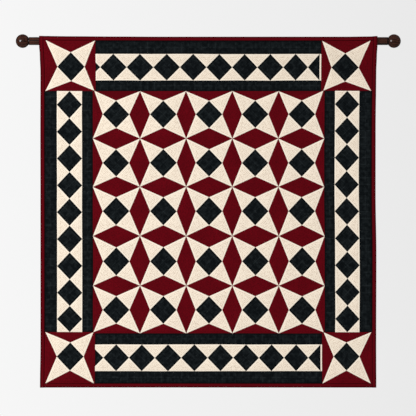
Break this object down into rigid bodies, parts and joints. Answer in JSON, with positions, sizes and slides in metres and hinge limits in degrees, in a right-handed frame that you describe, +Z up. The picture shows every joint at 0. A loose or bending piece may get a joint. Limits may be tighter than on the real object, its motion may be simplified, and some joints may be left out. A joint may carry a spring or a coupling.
{
  "type": "quilted wall hanging on a wooden rod",
  "caption": "Pieced and quilted wall hanging, bound all round, hung by a sleeve on a round wooden rod with ball ends.",
  "frame": {"origin": "middle of the rod's axis, where the wall's hooks carry the rod", "axes": "+X along the rod to the right as seen from the front, +Y to the wall, +Z up; the quilt's front faces -Y"},
  "size_m": [1.2334, 0.0438, 1.132],
  "materials": {
    "quilted_cotton": "matte plain weave",
    "binding_cotton": "matte plain weave",
    "dark_wood": "satin varnish"
  },
  "bodies": {
    "root": {"quilt": "quilted_cotton", "binding_left": "binding_cotton", "binding_right": "binding_cotton", "binding_top": "binding_cotton", "binding_bottom": "binding_cotton", "rod": "dark_wood", "finial_left": "dark_wood", "finial_right": "dark_wood"}
  },
  "joints": []
}
